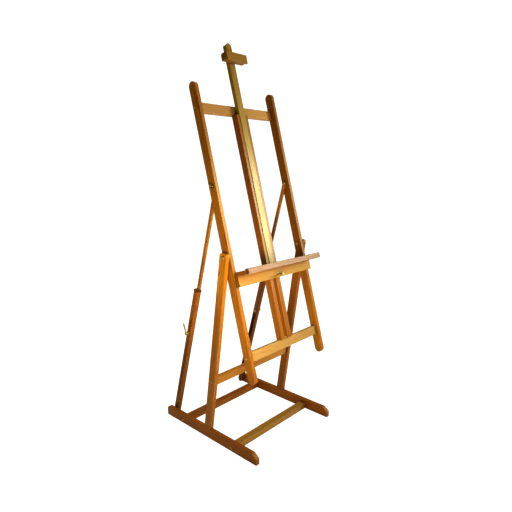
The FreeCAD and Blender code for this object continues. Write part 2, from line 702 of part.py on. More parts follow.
for name, (up, height, front, thick) in crossbars.items():
    bar = new_body(name, "tilting")
    back = f"-({front} - {thick})"
    prism(bar, "YZ", box_corners(f"-({front})", back, up, f"{up} + {height}"),
          f"-{rail_inner}", f"2 * {rail_inner}")
    ease(bar)
    centre = bar_centre(up, height, front, thick)
    for side in sides.values():
        bore_bar_end(bar, side, rail_inner, centre)
        barrel_at = (f"{side} * ({rail_inner} - barrel_inset)", centre[1])
        barrel_low = f"{front} - {thick}"
        barrel_run = f"min(barrel_length; {thick} - barrel_skin)"
        bore(bar, "XZ", barrel_at, barrel_hole, barrel_low, f"{barrel_run} + barrel_play")
        bolt_piece, nut = connector("tilting", side, rail_outer, rail_inner, centre, "XZ",
                                    barrel_at, barrel_low, barrel_run)
        frame_bolts.append(bolt_piece)
        frame_barrels.append(nut)
    if name == "top_crossbar":
        dowel_radius, dowel_face, dowel_way = "dowel", up, 1
        top_dowel_y = f"(dowel_inset - ({front}))"
        dowel_y = top_dowel_y
    else:
        dowel_radius, dowel_face, dowel_way = "tray_dowel", f"({up} + {height})", -1
        low_dowel_y = f"(-({front} - {thick} / 2))"
        dowel_y = low_dowel_y
    for side in sides.values():
        hole_low = dowel_face if dowel_way > 0 else f"{dowel_face} - {dowel_end}"
        bore(bar, "XY", (f"{side} * (slot_half + channel_half) / 2", dowel_y),
             f"{dowel_radius} + dowel_play", hole_low, dowel_end)
    nodes.append(bar)

channel_dowels = []
stop_place = (f"stop_pin_deep - {rebate_floor}", "stop_pin_rise - low_bar_down")
stop_reach = "(slot_half + stop_pin_grip)"
for name, side in sides.items():
    strip = new_body(name + "_channel_strip", "tilting")
    section = [
        (f"{side} * slot_half", f"-{channel_back}"),
        (f"{side} * channel_half", f"-{channel_back}"),
        (f"{side} * channel_half", "-channel_front"),
        (f"{side} * rebate_half", "-channel_front"),
        (f"{side} * rebate_half", f"-{rebate_floor}"),
        (f"{side} * slot_half", f"-{rebate_floor}"),
    ]
    prism(strip, "XY", section, "-low_bar_down", "low_bar_down + top_bar_up")
    ease(strip, "wood_ease / 2")
    dowel_x = f"{side} * (slot_half + channel_half) / 2"
    bore(strip, "XY", (dowel_x, top_dowel_y), "dowel + dowel_play", f"top_bar_up - {dowel_end}",
         dowel_end)
    bore(strip, "XY", (dowel_x, low_dowel_y), "tray_dowel + dowel_play", "-low_bar_down",
         dowel_end)
    start, length = across(side, "slot_half", f"({stop_reach} + dowel_play)")
    bore(strip, "YZ", stop_place, "stop_pin + dowel_play", start, length)
    nodes.append(strip)
    for dowel_y, radius, middle in ((top_dowel_y, "dowel", "top_bar_up"),
                                    (low_dowel_y, "tray_dowel", "-low_bar_down")):
        pin = round_bar("XY", (dowel_x, dowel_y), radius, f"{middle} - dowel_half",
                        "2 * dowel_half")
        channel_dowels.append(carry(pin, "tilting"))

nodes.append(node("channel_dowels", channel_dowels))
nodes.append(node("frame_connector_bolts", frame_bolts))
nodes.append(node("frame_barrel_nuts", frame_barrels))
stop = round_bar("YZ", stop_place, "stop_pin", f"-{stop_reach}", f"2 * {stop_reach}")
nodes.append(node("slot_stop_pin", [carry(stop, "tilting")]))

# --- mast, head block and their fastenings ----------------------------------------------------
mast = new_body("mast", "tilting")
flange_back = f"({rebate_floor} + slide_gap)"
flange = f"({mast_front} - {flange_back})"
shoulder = f"({mast_top} - mast_half)"
prism(mast, "XZ", box_corners("-mast_half", "mast_half", "-mast_down", shoulder),
      flange_back, flange)
disc(mast, "XZ", ("0", shoulder), "mast_half", flange_back, flange)
ease(mast)
tongue_half = "(slot_half - slide_gap)"
prism(mast, "XZ", box_corners(f"-{tongue_half}", tongue_half, "-mast_down",
                              f"{mast_top} - tongue_short"),
      "-tongue_back", f"tongue_back + {flange_back} + wood_ease")
mast_bolt = ("0", "mast_bolt_up - mast_down")
sunk_head = f"({mast_front} - clamp_head_high)"
bore(mast, "XZ", mast_bolt, bolt_hole, "-tongue_back", f"tongue_back + {mast_front}")
bore(mast, "XZ", mast_bolt, "clamp_head + bolt_play", sunk_head, "clamp_head_high")
head_screws = [("0", f"{head_foot} + head_screw_low"), ("0", f"{head_foot} + head_screw_high")]
for place in head_screws:
    bore(mast, "XZ", place, "screw + bolt_play", "-tongue_back", f"tongue_back + {mast_front}")
nodes.append(mast)

head = new_body("head_block", "tilting")
head_front = f"({mast_front} + head_depth)"
head_top = f"({head_foot} + head_height)"
lip_back = f"({head_front} - head_lip_thick)"
outline = [
    (f"-{mast_front}", head_foot),
    (f"-{lip_back}", head_foot),
    (f"-{lip_back}", f"{head_foot} - head_lip"),
    (f"-{head_front}", f"{head_foot} - head_lip"),
    (f"-{head_front}", head_top),
    (f"-{mast_front} - head_bevel", head_top),
    (f"-{mast_front}", f"{head_top} - head_bevel"),
]
prism(head, "YZ", outline, "-head_half", "2 * head_half")
ease(head)
for place in head_screws:
    bore(head, "XZ", place, "screw + bolt_play", mast_front, "screw_reach + hole_end")
nodes.append(head)

screws = []
for place in head_screws:
    reach = f"tongue_back + {mast_front} + screw_reach"
    screws.append(bolt("tilting", "XZ", place, "-tongue_back", -1, "screw_head",
                       "screw_head_high", "screw", reach))
nodes.append(node("head_block_screws", screws))

mast_bolt_reach = f"{sunk_head} - {plate_back} + wing_hub_length - 2 * hub_cap"
nodes.append(node("mast_clamp_bolt", [
    bolt("tilting", "XZ", mast_bolt, sunk_head, 1, "clamp_head", "clamp_head_high", "bolt",
         mast_bolt_reach)]))
nodes.append(clamp_plate("mast_clamp_plate", mast_bolt[1]))
mast_nut = wing_nut("mast_wing_nut", "tilting", "XZ", mast_bolt, plate_back, -1,
                    "wing_hub_length", "wing_reach", "wing_tip", "wing_rise")
bore_hub(mast_nut, "XZ", mast_bolt, plate_back, -1, "wing_hub_length")
nodes.append(mast_nut)

# --- tray -------------------------------------------------------------------------------------
tray_bolt = ("0", "-tray_bolt_down")
board = new_body("tray_board", "tilting")
prism(board, "YZ", box_corners(f"-{board_front}", f"-{board_back}", "-board_down", board_top),
      "-tray_half", "2 * tray_half")
ease(board)
bore(board, "XZ", tray_bolt, bolt_hole, board_back, "board_thick")

shelf = new_body("tray_shelf", "tilting")
prism(shelf, "YZ", box_corners(f"-{shelf_front}", "-shelf_back", board_top, shelf_top),
      "-tray_half", "2 * tray_half")
ease(shelf)

lip = new_body("tray_lip", "tilting")
lip_low = f"({board_top} + lip_rise)"
prism(lip, "YZ", box_corners(f"-{shelf_front} - lip_thick", f"-{shelf_front}", lip_low,
                             f"{lip_low} + lip_height"), "-tray_half", "2 * tray_half")
ease(lip, "lip_ease")

tray_dowels = []
upright_dowel_y = f"(-({board_front} + shelf_back) / 2)"
level_dowel_z = f"({lip_low} + {shelf_top}) / 2"
for place in ("-dowel_pitch", "0", "dowel_pitch"):
    hole = "tray_dowel + dowel_play"
    bore(board, "XY", (place, upright_dowel_y), hole, f"{board_top} - {tray_dowel_end}",
         tray_dowel_end)
    bore(shelf, "XY", (place, upright_dowel_y), hole, board_top, tray_dowel_end)
    bore(shelf, "XZ", (place, level_dowel_z), hole, f"{shelf_front} - {tray_dowel_end}",
         tray_dowel_end)
    bore(lip, "XZ", (place, level_dowel_z), hole, shelf_front, tray_dowel_end)
    for plane, centre, middle in (("XY", (place, upright_dowel_y), board_top),
                                  ("XZ", (place, level_dowel_z), shelf_front)):
        pin = round_bar(plane, centre, "tray_dowel", f"{middle} - tray_dowel_half",
                        "2 * tray_dowel_half")
        tray_dowels.append(carry(pin, "tilting"))
nodes += [board, shelf, lip, node("tray_dowels", tray_dowels)]

washer_front = f"({board_front} + washer_thick)"
tray_reach = f"{washer_front} + tray_hub_length - 2 * hub_cap - {plate_back}"
nodes.append(node("tray_clamp_bolt", [
    bolt("tilting", "XZ", tray_bolt, plate_back, -1, "clamp_head", "clamp_head_high", "bolt",
         tray_reach)]))
nodes.append(clamp_plate("tray_clamp_plate", tray_bolt[1]))
nodes.append(node("tray_washer", [
    ring("tilting", "XZ", tray_bolt, "washer", "bolt + running_fit", board_front,
         "washer_thick")]))
tray_nut = wing_nut("tray_wing_nut", "tilting", "XZ", tray_bolt, washer_front, 1,
                    "tray_hub_length", "tray_wing_reach", "tray_wing_tip", "tray_wing_rise")
bore_hub(tray_nut, "XZ", tray_bolt, washer_front, 1, "tray_hub_length")
nodes.append(tray_nut)

# --- struts -----------------------------------------------------------------------------------
hinge_screws = []
hinge_spacers = []
wing_washers = []
for name, side in sides.items():
    strut = new_body(name + "_strut", "strut")
    start, length = across(side, strut_inner, strut_outer)
    half = "strut_depth / 2"
    prism(strut, "YZ", box_corners(f"-{half}", half, "0", "strut_length"), start, length)
    disc(strut, "YZ", ("0", "0"), half, start, length)
    ease(strut)
    bore(strut, "YZ", ("0", "0"), "pivot + running_fit", start, length)
    start, length = across(side, strut_inner, groove_floor)
    half = "(rod_depth / 2 + groove_gap)"
    prism(strut, "YZ", box_corners(f"-{half}", half, "groove_start", "strut_length"), start,
          length, cut=True)
    start, length = across(side, groove_floor, strut_outer)
    slot = "(bolt + groove_gap)"
    prism(strut, "YZ", box_corners(f"-{slot}", slot, "slot_low", "slot_high"), start, length,
          cut=True)
    for end in ("slot_low", "slot_high"):
        bore(strut, "YZ", ("0", end), slot, start, length)
    nodes.append(strut)

    rod = new_body(name + "_strut_rod", "strut")
    start, length = across(side, rod_inner, rod_outer)
    half = "rod_depth / 2"
    prism(rod, "YZ", box_corners(f"-{half}", half, "clamp_rise - rod_tail", pin_rise), start,
          length)
    disc(rod, "YZ", ("0", pin_rise), half, start, length)
    ease(rod, "wood_ease / 2")
    for place in ("clamp_rise", pin_rise):
        bore(rod, "YZ", ("0", place), "bolt + running_fit", start, length)
    nodes.append(rod)

    collar = new_body(name + "_strut_collar", "strut")
    near = f"({rod_inner} - collar_gap)"
    far = f"({strut_outer} + collar_gap)"
    half = "(strut_depth / 2 + collar_gap)"
    low = "(strut_length - collar_height)"
    outer_start, outer_length = across(side, f"{near} - collar_wall", f"{far} + collar_wall")
    prism(collar, "YZ", box_corners(f"-{half} - collar_wall", f"{half} + collar_wall", low,
                                    "strut_length"), outer_start, outer_length)
    start, length = across(side, near, far)
    prism(collar, "YZ", box_corners(f"-{half}", half, f"{low} - overcut",
                                    "strut_length + overcut"), start, length, cut=True)
    nodes.append(collar)

    inner_face = f"{side} * {strut_inner}"
    reach = f"{foot_inner} - {strut_inner} + face_gap + hinge_screw"
    hinge_screws.append(bolt("strut", "YZ", ("0", "0"), f"{inner_face} - {side} * face_gap",
                             -side, "clamp_head", "clamp_head_high", "pivot", reach))
    start, length = across(side, f"{strut_outer} + face_gap", foot_inner)
    hinge_spacers.append(ring("strut", "YZ", ("0", "0"), "washer", "pivot + running_fit", start,
                              length))

    clamp = ("0", "clamp_rise")
    washer_in = f"({strut_outer} + groove_gap)"
    washer_out = f"({washer_in} + washer_thick)"
    reach = f"{washer_out} + lever_hub_length - 2 * hub_cap - {rod_inner}"
    nodes.append(node(name + "_clamp_bolt", [
        bolt("strut", "YZ", clamp, f"{side} * {rod_inner}", -side, "clamp_head",
             "clamp_head_high", "bolt", reach)]))
    start, length = across(side, washer_in, washer_out)
    nodes.append(node(name + "_clamp_washer", [
        ring("strut", "YZ", clamp, "washer", "bolt + running_fit", start, length)]))

    lever = new_body(name + "_clamp_lever", "lever")
    root = f"({washer_out} + lever_root)"
    tip = f"({root} + lever_flare)"
    outline = [
        (f"{side} * {root}", "0"),
        (f"{side} * ({root} + lever_thick)", "0"),
        (f"{side} * ({tip} + lever_thick)", "lever_length"),
        (f"{side} * {tip}", "lever_length"),
    ]
    prism(lever, "XZ", outline, "-lever_width / 2", "lever_width")
    ease(lever, "lever_ease")
    start, length = across(side, washer_out, f"{washer_out} + lever_hub_length")
    disc(lever, "YZ", ("0", "0"), "lever_hub", start, length)
    bore_hub(lever, "YZ", ("0", "0"), f"{side} * {washer_out}", side, "lever_hub_length")
    nodes.append(lever)

    nodes.append(node(name + "_strut_top_bolt", [
        bolt("strut", "YZ", ("0", pin_rise), f"{side} * {rod_inner}", -side, "bolt_head",
             "clamp_head_high", "bolt", "rod_thick")]))
    pin = ("0", "pin_up")
    start, length = across(side, rail_outer, f"{rail_outer} + washer_thick")
    wing_washers.append(ring("tilting", "YZ", pin, "washer", "bolt + running_fit", start,
                             length))
    wing = wing_nut(name + "_wing_bolt", "wing", "YZ", ("0", "0"),
                    f"{side} * ({rail_outer} + washer_thick)", side, "wing_hub_length",
                    "wing_reach", "wing_tip", "wing_rise")
    start, length = across(side, f"{rail_inner} + rod_gap", f"{rail_outer} + wing_thick")
    disc(wing, "YZ", ("0", "0"), "bolt", start, length)
    nodes.append(wing)

nodes.append(node("strut_hinge_bolts", hinge_screws))
nodes.append(node("strut_hinge_spacers", hinge_spacers))
nodes.append(node("wing_bolt_washers", wing_washers))

doc.recompute()
for item in doc.Objects:
    if "Invalid" in item.State or "Error" in item.State:
        raise RuntimeError(f"{item.Label}: {item.State}")
for piece in nodes:
    if piece.Shape.isNull() or not piece.Shape.isValid():
        raise RuntimeError(piece.Label + ": bad shape")

os.makedirs("parts", exist_ok=True)
for piece in nodes:
    piece.Shape.exportStep(f"parts/{piece.Label}.step")
print(len(nodes), "nodes")
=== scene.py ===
import bpy
import json
import math
from mathutils import Euler, Matrix, Vector


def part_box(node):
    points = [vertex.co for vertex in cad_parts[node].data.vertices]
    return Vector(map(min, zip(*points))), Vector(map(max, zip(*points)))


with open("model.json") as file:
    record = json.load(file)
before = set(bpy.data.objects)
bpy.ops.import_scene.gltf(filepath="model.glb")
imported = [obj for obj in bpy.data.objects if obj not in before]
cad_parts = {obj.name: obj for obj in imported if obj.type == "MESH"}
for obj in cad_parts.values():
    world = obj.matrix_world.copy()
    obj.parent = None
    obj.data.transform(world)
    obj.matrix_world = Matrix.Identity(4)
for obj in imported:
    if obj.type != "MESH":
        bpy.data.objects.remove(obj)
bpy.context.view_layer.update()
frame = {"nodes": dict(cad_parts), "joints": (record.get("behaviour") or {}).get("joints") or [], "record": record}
nodes = frame["nodes"]
record = frame["record"]
print("frame loaded:", len(nodes), "nodes")


# Small helpers for building node trees.
def linkUp(tree, source, target):
    tree.links.new(source, target)


def addNode(tree, kind, x, y, **values):
    node = tree.nodes.new(kind)
    node.location = (x, y)
    for name, value in values.items():
        setattr(node, name, value)
    return node


def feed(tree, socket, value):
    if value is None:
        return
    if isinstance(value, (int, float)):
        socket.default_value = value
    elif isinstance(value, tuple):
        socket.default_value = (*value, 1.0)
    else:
        linkUp(tree, value, socket)


def mathNode(tree, operation, x, y, first, second=None, third=None, clamp=False):
    node = addNode(tree, "ShaderNodeMath", x, y, operation=operation, use_clamp=clamp)
    for socket, value in zip(node.inputs, (first, second, third)):
        feed(tree, socket, value)
    return node.outputs[0]


def vectorNode(tree, operation, x, y, first, second=None, out=0):
    node = addNode(tree, "ShaderNodeVectorMath", x, y, operation=operation)
    for socket, value in zip(node.inputs, (first, second)):
        if value is not None:
            linkUp(tree, value, socket)
    return node.outputs[out]


def stretchedNoise(tree, coords, x, y, across, along, detail, rough=0.5):
    mapping = addNode(tree, "ShaderNodeMapping", x, y)
    mapping.inputs["Scale"].default_value = (across, across, along)
    linkUp(tree, coords, mapping.inputs["Vector"])
    noise = addNode(tree, "ShaderNodeTexNoise", x + 180, y)
    noise.inputs["Scale"].default_value = 1.0
    noise.inputs["Detail"].default_value = detail
    noise.inputs["Roughness"].default_value = rough
    linkUp(tree, mapping.outputs[0], noise.inputs["Vector"])
    return noise.outputs["Fac"]


def remap(tree, value, x, y, low, high, newLow=0.0, newHigh=1.0):
    node = addNode(tree, "ShaderNodeMapRange", x, y, clamp=True)
    linkUp(tree, value, node.inputs["Value"])
    node.inputs["From Min"].default_value = low
    node.inputs["From Max"].default_value = high
    node.inputs["To Min"].default_value = newLow
    node.inputs["To Max"].default_value = newHigh
    return node.outputs["Result"]


# The mix node has sockets for every kind of value: 6, 7 and output 2 are those for colours.
def mixColours(tree, x, y, factor, first, second, blend="MIX"):
    node = addNode(tree, "ShaderNodeMix", x, y, data_type="RGBA", blend_type=blend)
    for socket, value in zip((node.inputs[0], node.inputs[6], node.inputs[7]),
                             (factor, first, second)):
        feed(tree, socket, value)
    return node.outputs[2]


def openGroup(name, inputs, outputs):
    group = bpy.data.node_groups.new(name, "ShaderNodeTree")
    for label, kind in inputs:
        group.interface.new_socket(label, in_out="INPUT", socket_type="NodeSocket" + kind)
    for label, kind in outputs:
        group.interface.new_socket(label, in_out="OUTPUT", socket_type="NodeSocket" + kind)
    start = addNode(group, "NodeGroupInput", -1500, 0)
    end = addNode(group, "NodeGroupOutput", 1400, 0)
    return group, start.outputs, end.inputs


# Timber has growth rings round a pith beside the board, fibre, flecks and blotches. Depth
# runs from 0 in pale wood to 1 in deep wood. "Across" and "Along" are how fine a noise is
# across and along the run of the timber, and a "Range" holds the values that become 0 and 1.
grainSettings = {
    "ringsPerMetre": 230.0,
    "ringRise": 0.82,               # share of a ring over which it darkens
    "ringFall": 0.86,               # from where it turns pale again
    "ringPower": 1.8,
    "wander": 0.060,                # how far the rings stray in all, in metres
    "wanderAcross": 9.0,
    "wanderAlong": 1.4,
    "fibreAcross": 1500.0,
    "fibreAlong": 22.0,
    "fibreRange": (0.30, 0.70),
    "fibreShare": 0.24,
    "fleckAcross": 1100.0,
    "fleckAlong": 60.0,
    "fleckRange": (0.60, 0.72),
    "fleckShare": 0.13,
    "blotchAcross": 16.0,
    "blotchAlong": 2.6,
    "blotchRange": (0.32, 0.68),
    "endRange": (0.45, 0.80),       # how squarely a face is cut across the run
    "endTint": (0.40, 0.28, 0.22),  # what the tone is multiplied by on a sawn end
    "relief": 0.5,
}


def buildGrainGroup(s):
    group, given, result = openGroup(
        "timberGrain",
        (("Vector", "Vector"), ("Facing", "Vector"), ("Rest", "Vector"), ("Pale", "Color"),
         ("Deep", "Color"), ("Pith", "Vector"), ("Ring Strength", "Float"),
         ("Blotch", "Float"), ("End Share", "Float"), ("Fade From", "Float"),
         ("Fade To", "Float"), ("Painted Shade Depth", "Float")),
        (("Color", "Color"), ("Depth", "Float"), ("Height", "Float")))
    coords = given["Vector"]

    wander = stretchedNoise(group, coords, -1300, 500, s["wanderAcross"], s["wanderAlong"], 3.0)
    shove = mathNode(group, "MULTIPLY_ADD", -900, 500, wander, s["wander"], s["wander"] / -2)
    moved = vectorNode(group, "ADD", -900, 250, coords, given["Pith"])
    parts = addNode(group, "ShaderNodeSeparateXYZ", -720, 250)
    linkUp(group, moved, parts.inputs[0])
    flat = addNode(group, "ShaderNodeCombineXYZ", -540, 250)
    linkUp(group, parts.outputs[0], flat.inputs[0])
    linkUp(group, parts.outputs[1], flat.inputs[1])
    radius = vectorNode(group, "LENGTH", -360, 250, flat.outputs[0], out=1)
    strayed = mathNode(group, "ADD", -180, 300, radius, shove)
    phase = mathNode(group, "FRACT", 180, 300,
                     mathNode(group, "MULTIPLY", 0, 300, strayed, s["ringsPerMetre"]))
    rise = remap(group, phase, 360, 360, 0.0, s["ringRise"])
    fall = remap(group, phase, 360, 160, s["ringFall"], 1.0, 1.0, 0.0)
    ring = mathNode(group, "POWER", 700, 300, mathNode(group, "MULTIPLY", 540, 300, rise, fall),
                    s["ringPower"])
    rings = mathNode(group, "MULTIPLY", 860, 300, ring, given["Ring Strength"])

    fibre = stretchedNoise(group, coords, -1300, -100, s["fibreAcross"], s["fibreAlong"], 4.0, 0.6)
    fibreMask = remap(group, fibre, -900, -100, *s["fibreRange"])
    fleck = stretchedNoise(group, coords, -1300, -300, s["fleckAcross"], s["fleckAlong"], 2.0)
    fleckMask = remap(group, fleck, -900, -300, *s["fleckRange"])
    blotch = stretchedNoise(group, coords, -1300, -500, s["blotchAcross"], s["blotchAlong"], 3.0)
    blotches = mathNode(group, "MULTIPLY", -700, -500,
                        remap(group, blotch, -900, -500, *s["blotchRange"]), given["Blotch"])

    fibres = mathNode(group, "MULTIPLY", 0, -100, fibreMask, s["fibreShare"])
    flecks = mathNode(group, "MULTIPLY", 0, -300, fleckMask, s["fleckShare"])
    facing = addNode(group, "ShaderNodeSeparateXYZ", -900, -700)
    linkUp(group, given["Facing"], facing.inputs[0])
    cutAcross = remap(group, mathNode(group, "ABSOLUTE", -700, -700, facing.outputs[2]),
                      -540, -700, *s["endRange"])
    ends = mathNode(group, "MULTIPLY", -360, -700, cutAcross, given["End Share"])
    sumA = mathNode(group, "ADD", 700, 0, rings, fibres)
    sumB = mathNode(group, "ADD", 860, -100, sumA, flecks)
    rest = addNode(group, "ShaderNodeSeparateXYZ", -900, -900)
    linkUp(group, given["Rest"], rest.inputs[0])
    # Painted shade: the height fades the wood towards its deep tone between two heights.
    shadeFade = addNode(group, "ShaderNodeMapRange", -540, -900, clamp=True)
    for socket, value in (("Value", rest.outputs[2]), ("From Min", given["Fade From"]),
                          ("From Max", given["Fade To"]), ("To Max", given["Painted Shade Depth"])):
        linkUp(group, value, shadeFade.inputs[socket])
    sumC = mathNode(group, "ADD", 860, -250, blotches, shadeFade.outputs[0])
    depth = mathNode(group, "ADD", 1000, -200, sumB, sumC, clamp=True)
    colour = mixColours(group, 1120, 200, depth, given["Pale"], given["Deep"])
    sawn = mixColours(group, 1260, 200, ends, colour, s["endTint"], "MULTIPLY")
    linkUp(group, sawn, result["Color"])
    linkUp(group, depth, result["Depth"])
    relief = mathNode(group, "MULTIPLY_ADD", 1000, -400, fibreMask, -s["relief"], s["relief"])
    linkUp(group, mathNode(group, "SUBTRACT", 1120, -400, relief, flecks), result["Height"])
    return group


# Handling rubs the edges in places and leaves dirt in the corners; ambient occlusion also paints shade into the
# corners and joints where shade falls.
wearAndShadeSettings = {
    "edgeSamples": 4,
    "edgeRange": (0.985, 0.86),   # from a flat face to a fully rubbed edge
    "scuffAcross": 60.0,
    "scuffAlong": 14.0,
    "scuffRange": (0.40, 0.62),
    "cornerSamples": 6,
    "cornerReach": 0.014,         # in metres
    "cornerRange": (0.30, 0.92),
}


def buildWearAndShadeGroup(s):
    group, given, result = openGroup(
        "wearAndShade",
        (("Vector", "Vector"), ("Edge Radius", "Float"), ("Wear", "Float"), ("Grime And Shade", "Float")),
        (("Worn", "Float"), ("Dirt And Shade", "Float")))
    bevel = addNode(group, "ShaderNodeBevel", -1200, 300, samples=s["edgeSamples"])
    linkUp(group, given["Edge Radius"], bevel.inputs["Radius"])
    shape = addNode(group, "ShaderNodeNewGeometry", -1200, 100)
    facing = vectorNode(group, "DOT_PRODUCT", -1000, 300, bevel.outputs[0],
                        shape.outputs["Normal"], out=1)
    edge = remap(group, facing, -800, 300, *s["edgeRange"])
    scuff = stretchedNoise(group, given["Vector"], -1200, -100, s["scuffAcross"],
                           s["scuffAlong"], 4.0, 0.6)
    scuffed = remap(group, scuff, -800, -100, *s["scuffRange"])
    worn = mathNode(group, "MULTIPLY", -600, 300, edge, scuffed)
    linkUp(group, mathNode(group, "MULTIPLY", -400, 300, worn, given["Wear"]), result["Worn"])

    # Dirt and painted shade: corners and joints that ambient occlusion finds hidden are darkened.
    corner = addNode(group, "ShaderNodeAmbientOcclusion", -1200, -400, samples=s["cornerSamples"])
    corner.inputs["Distance"].default_value = s["cornerReach"]
    occludedShade = remap(group, corner.outputs["AO"], -800, -400, *s["cornerRange"], 1.0, 0.0)
    linkUp(group, mathNode(group, "MULTIPLY", -400, -400, occludedShade, given["Grime And Shade"]),
           result["Dirt And Shade"])
    return group


grainGroup = buildGrainGroup(grainSettings)
wearAndShadeGroup = buildWearAndShadeGroup(wearAndShadeSettings)


def addWearAndShade(tree, coords, x, y, finish):
    wearAndShade = addNode(tree, "ShaderNodeGroup", x, y, node_tree=wearAndShadeGroup)
    linkUp(tree, coords, wearAndShade.inputs["Vector"])
    wearAndShade.inputs["Edge Radius"].default_value = finish["edgeRadius"]
    wearAndShade.inputs["Wear"].default_value = finish["wear"]
    wearAndShade.inputs["Grime And Shade"].default_value = finish["grimeAndShade"]
    return wearAndShade.outputs


def addRelief(tree, height, bsdf, x, y, finish):
    relief = addNode(tree, "ShaderNodeBump", x, y)
    relief.inputs["Strength"].default_value = finish["bumpStrength"]
    relief.inputs["Distance"].default_value = finish["bumpDepth"]
    linkUp(tree, height, relief.inputs["Height"])
    linkUp(tree, relief.outputs[0], bsdf.inputs["Normal"])


timberFinish = {
    "edgeRadius": 0.0016, "wear": 0.55, "grimeAndShade": 0.75,   # the radius is in metres
    "duller": 0.25,                                      # how much rougher a rubbed edge is
    "bumpStrength": 0.3, "bumpDepth": 0.0004,
    "shine": 0.40, "shineTint": (1.0, 0.80, 0.25, 1.0), "coatRough": 0.28,
    "apart": 0.37,                 # how far apart two boards lie along the grain, in metres
}


def makeTimber(name, turn, tone, pith, seed, shadeFade, finish):
    mat = bpy.data.materials.new(name)
    mat.use_nodes = True
    tree = mat.node_tree
    bsdf = tree.nodes["Principled BSDF"]
    coords = addNode(tree, "ShaderNodeTexCoord", -1300, 0)
    mapping = addNode(tree, "ShaderNodeMapping", -1100, 0)
    mapping.inputs["Rotation"].default_value = turn
    mapping.inputs["Location"].default_value = (0.0, 0.0, finish["apart"] * seed)
    linkUp(tree, coords.outputs["Object"], mapping.inputs["Vector"])
    facing = addNode(tree, "ShaderNodeMapping", -1100, 400, vector_type="VECTOR")
    facing.inputs["Rotation"].default_value = turn
    linkUp(tree, coords.outputs["Normal"], facing.inputs["Vector"])
    grain = addNode(tree, "ShaderNodeGroup", -800, 0, node_tree=grainGroup)
    linkUp(tree, mapping.outputs[0], grain.inputs["Vector"])
    linkUp(tree, facing.outputs[0], grain.inputs["Facing"])
    linkUp(tree, coords.outputs["Object"], grain.inputs["Rest"])
    for socket, value in zip(("Fade From", "Fade To", "Painted Shade Depth"), shadeFade):
        grain.inputs[socket].default_value = value
    grain.inputs["Pale"].default_value = (*tone["pale"], 1.0)
    grain.inputs["Deep"].default_value = (*tone["deep"], 1.0)
    grain.inputs["Pith"].default_value = pith
    grain.inputs["Ring Strength"].default_value = tone["rings"]
    grain.inputs["Blotch"].default_value = tone["blotch"]
    grain.inputs["End Share"].default_value = tone["ends"]
    wornAndShaded = addWearAndShade(tree, mapping.outputs[0], -800, -300, finish)
    rubbed = mixColours(tree, -500, 100, wornAndShaded["Worn"], grain.outputs["Color"], tone["bare"])
    # Dirt and painted shade darken the corners towards the dirt colour.
    dirtyAndShaded = mixColours(tree, -300, 100, wornAndShaded["Dirt And Shade"], rubbed, tone["dirtAndShade"])
    linkUp(tree, dirtyAndShaded, bsdf.inputs["Base Color"])
    rough = remap(tree, grain.outputs["Depth"], -500, -150, 0.0, 1.0, *tone["rough"])
    duller = mathNode(tree, "MULTIPLY_ADD", -300, -150, wornAndShaded["Worn"], finish["duller"], rough)
    linkUp(tree, duller, bsdf.inputs["Roughness"])
    addRelief(tree, grain.outputs["Height"], bsdf, -300, -400, finish)
    bsdf.inputs["Specular IOR Level"].default_value = finish["shine"]
    bsdf.inputs["Specular Tint"].default_value = finish["shineTint"]
    bsdf.inputs["Coat Weight"].default_value = tone["gloss"]
    bsdf.inputs["Coat Roughness"].default_value = finish["coatRough"]
    return mat


def dress(nodeName, mat):
    piece = nodes[nodeName]
    piece.data.materials.clear()
    piece.data.materials.append(mat)
    for polygon in piece.data.polygons:
        polygon.material_index = 0
